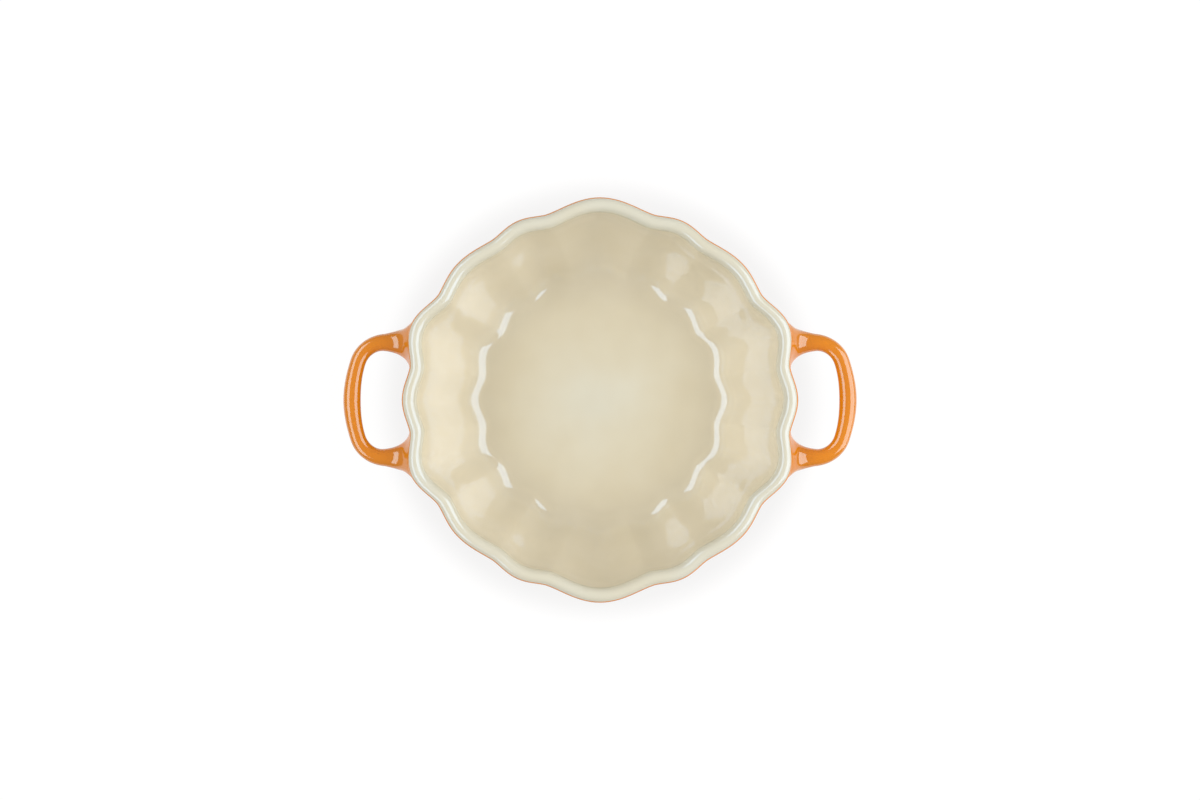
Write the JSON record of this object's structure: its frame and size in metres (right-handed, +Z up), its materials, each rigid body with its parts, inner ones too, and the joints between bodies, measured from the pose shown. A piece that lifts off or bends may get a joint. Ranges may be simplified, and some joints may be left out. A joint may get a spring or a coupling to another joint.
{
  "type": "casserole dish",
  "caption": "Round fluted stoneware casserole dish in the shape of a pumpkin, with two loop handles, a cream glaze inside and an orange glaze outside.",
  "frame": {"origin": "centre of the foot ring's resting face", "axes": "+Z up along the bowl's axis, +X towards the right handle, +Y towards the back"},
  "size_m": [0.256, 0.2004, 0.0822],
  "materials": {
    "bare_stoneware": "unglazed, matt, on the foot ring",
    "cream_glaze": "glossy cream glaze",
    "orange_glaze": "glossy orange glaze"
  },
  "bodies": {
    "root": {"stoneware_body": "bare_stoneware", "cream_glaze": "cream_glaze", "orange_glaze": "orange_glaze", "base_glaze": "orange_glaze", "left_handle": "orange_glaze", "right_handle": "orange_glaze"}
  },
  "joints": []
}
